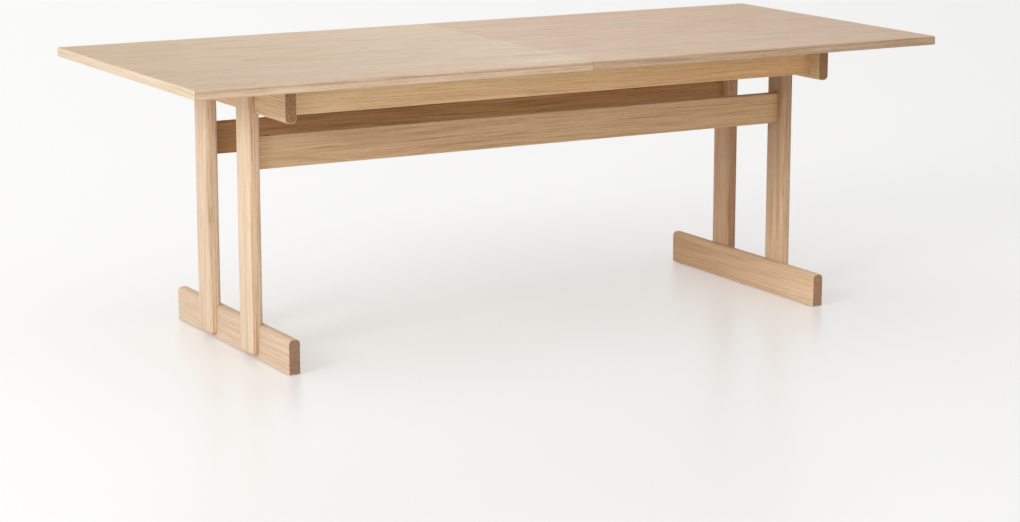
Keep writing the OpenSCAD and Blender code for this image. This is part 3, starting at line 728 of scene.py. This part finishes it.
# side: a tint of painted shade for the faces of each board that look along Y
BOARDS = {
    "post_front_left": board_look(
        (0.702, 0.539, 0.384), (0.762, 0.567, 0.388), heart=(70, 110, 0),
        side=(0.885, 0.815, 0.78), contrast=1.1, side_contrast=0.7,
    ),
    "post_rear_left": board_look(
        (0.691, 0.528, 0.389), (0.712, 0.535, 0.383), heart=(60, -120, 0),
        side=(1.0, 0.96, 0.90), contrast=1.1, side_contrast=0.7,
    ),
    # painted shade: the top end of this post, in the shade of the top, is made much darker
    "post_front_right": board_look(
        (0.635, 0.438, 0.282), (0.368, 0.216, 0.121), heart=(80, 100, 0),
        side=(0.98, 0.98, 0.95), contrast=1.1, side_contrast=0.7,
    ),
    "post_rear_right": board_look(
        (0.512, 0.325, 0.196), heart=(-70, 90, 0),
        side=(0.84, 0.78, 0.74), contrast=1.2, side_contrast=0.7,
    ),
    "foot_left": board_look(
        (0.622, 0.458, 0.325), (0.654, 0.499, 0.362), heart=(80, 0, 40), contrast=0.7, pitch=6,
    ),
    "foot_right": board_look(
        (0.683, 0.489, 0.32), (0.482, 0.298, 0.156), heart=(-80, 0, 30), contrast=0.75, pitch=6,
    ),
    "batten_left": board_look((0.721, 0.495, 0.297), heart=(-95, 0, 95), pitch=6.5),
    "batten_right": board_look((0.596, 0.41, 0.234), heart=(60, 0, -80), pitch=4.8),
    "apron_front": board_look((0.763, 0.533, 0.305), (0.606, 0.367, 0.17), heart=(0, 90, 60)),
    "apron_rear": board_look((0.622, 0.408, 0.227), heart=(0, -80, 70)),
    "stretcher_front": board_look((0.621, 0.413, 0.239), (0.542, 0.343, 0.186), heart=(0, 110, -70)),
    # painted shade: the same oak as the front stretcher, made dark brown because it stands in the shade
    # behind it
    "stretcher_rear": board_look((0.404, 0.223, 0.0939), heart=(0, 90, 60), contrast=1.4),
}
PLAIN_OAK = board_look((0.60, 0.42, 0.27), heart=(0, 60, -90))
BEECH = board_look((0.58, 0.38, 0.23), heart=(0, 70, 110), contrast=0.6, pitch=2.2)
FITTINGS = {
    "steel": metal("steel", (0.60, 0.61, 0.62), (0.50, 0.51, 0.52), 0.30),
    "zinc": metal("zinc", (0.44, 0.44, 0.45), (0.34, 0.34, 0.35), 0.45),
    "brass": metal("brass", (0.74, 0.55, 0.26), (0.62, 0.43, 0.17), 0.34),
    "nylon": moulded("nylon", (0.82, 0.81, 0.76), (0.76, 0.745, 0.69)),
    "felt": felt("felt", (0.17, 0.155, 0.14), (0.05, 0.045, 0.04)),
}


def grain_of(node):
    """The axis of a node's longest side: 0 for X, 1 for Y and 2 for Z."""
    low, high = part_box(node)
    sides = list(high - low)
    return sides.index(max(sides))


def seed_of(node):
    """A number of its own for each node, from where it lies."""
    low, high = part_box(node)
    return 3.0 + low.x * 1.9 + low.y * 2.7 + high.z * 3.3


def paint_board(obj, node, look):
    """Gives a board the material made for its node."""
    paint(obj, board_material(obj.name, node, grain_of(node), look, seed_of(node)))


def paint_lipping(obj, node, look, veneer_look):
    """Gives a lipping the material made for its node."""
    grain = grain_of(node)
    paint(obj, lipping_material(obj.name, node, grain, look, veneer_look, seed_of(node)))


# painted shade: near-black caps fill the cam bores so that they read as dark shaded holes
cap_painted_shade = moulded("cap_painted_shade", (0.022, 0.015, 0.010), (0.014, 0.010, 0.007))
new_pieces = {}
for side in SIDES:
    for kind in ("foot", "batten"):
        new_pieces[f"{kind}_{side}"] = make_bar(kind, side)
    for row in ROWS:
        new_pieces[f"post_{row}_{side}"] = make_post(side, row)
        paint(make_cam_cap(side, row), cap_painted_shade)
for node, obj in new_pieces.items():
    paint_board(obj, node, BOARDS[node])

for side in SIDES:
    for row in ROWS:
        lipping = make_long_lipping(side, row)
        paint_lipping(lipping, f"lipping_{side}_{row}", LIPPING[side], VENEER[side])
    paint_lipping(make_end_lipping(side), f"lipping_{side}_end", LIPPING["end"], VENEER[side])

for node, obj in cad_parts.items():
    if obj.hide_render:
        continue
    slot = obj.data.materials[0].name
    if slot in FITTINGS:
        paint(obj, FITTINGS[slot])
    elif slot == "oak_veneer":
        paint(obj, veneer_material(node, node, VENEER["right" if node == "top_right" else "left"]))
    else:
        plain = BEECH if slot == "beech" else PLAIN_OAK
        paint_board(obj, node, BOARDS.get(node, plain))
        ease_edges(obj, 0.8 * MM)


# ---------- floor, light and camera ----------


def make_floor():
    """A pale floor, clear from underneath so that it doesn't hide the table's underside."""
    reach = 40
    mesh = bpy.data.meshes.new("floor")
    mesh.from_pydata([(-reach, -reach, 0), (reach, -reach, 0), (reach, reach, 0), (-reach, reach, 0)],
                     [], [(0, 1, 2, 3)])
    floor = bpy.data.objects.new("floor", mesh)
    bpy.context.scene.collection.objects.link(floor)
    material, tree, shader = new_material("floor")
    shader.inputs["Base Color"].default_value = (0.615, 0.613, 0.604, 1)
    shader.inputs["Roughness"].default_value = 0.3
    shader.inputs["Specular IOR Level"].default_value = 0.3
    shader.inputs["Emission Color"].default_value = (1, 1, 1, 1)
    shader.inputs["Emission Strength"].default_value = 0.26
    clear = tree.nodes.new("ShaderNodeBsdfTransparent")
    below = tree.nodes.new("ShaderNodeNewGeometry").outputs["Backfacing"]
    either = add(tree, "ShaderNodeMixShader", {0: below, 1: shader.outputs[0], 2: clear.outputs[0]})
    feed(tree, tree.nodes["Material Output"].inputs["Surface"], either.outputs[0])
    mesh.materials.append(material)


def make_light(name, azimuth, elevation, distance, size, power):
    """A square soft light that looks at the table. Azimuth 0 is at +X and 90 at +Y."""
    lamp = bpy.data.lights.new(name, "AREA")
    lamp.shape = "SQUARE"
    lamp.size = size
    lamp.energy = power
    obj = bpy.data.objects.new(name, lamp)
    bpy.context.scene.collection.objects.link(obj)
    a, e = math.radians(azimuth), math.radians(elevation)
    away = Vector((math.cos(a) * math.cos(e), math.sin(a) * math.cos(e), math.sin(e)))
    obj.location = Vector((0, 0, 0.5)) + away * distance
    obj.rotation_euler = away.to_track_quat("Z", "Y").to_euler()
    return obj


def make_world(strength, falloff):
    """A white room, dimmer towards +X, the side away from the key light."""
    world = bpy.data.worlds.new("studio")
    world.use_nodes = True
    tree = world.node_tree
    background = tree.nodes["Background"]
    background.inputs["Color"].default_value = (1.0, 0.998, 0.99, 1)
    away = calc(tree, "MAXIMUM", object_parts(tree, "Generated")[0], 0.0)
    dimming = calc(tree, "MULTIPLY", away, away)
    feed(tree, background.inputs["Strength"], calc(tree, "MULTIPLY_ADD", dimming, -falloff, strength))
    bpy.context.scene.world = world


def make_camera():
    """The photograph's viewpoint, a little to the left of the front and looking down."""
    data = bpy.data.cameras.new("camera")
    data.sensor_width = 36
    data.lens = 94.28
    data.clip_end = 200
    camera = bpy.data.objects.new("camera", data)
    camera.location = (-3.5103, -6.3029, 1.6484)
    camera.rotation_euler = (math.radians(90 - 11.757), 0, math.radians(-29.250))
    bpy.context.scene.collection.objects.link(camera)
    bpy.context.scene.camera = camera


make_floor()
make_light("key", azimuth=205, elevation=22, distance=12.0, size=3.84, power=466)
make_world(strength=1.04, falloff=0.9)
make_camera()
bpy.context.scene.view_settings.view_transform = "Standard"
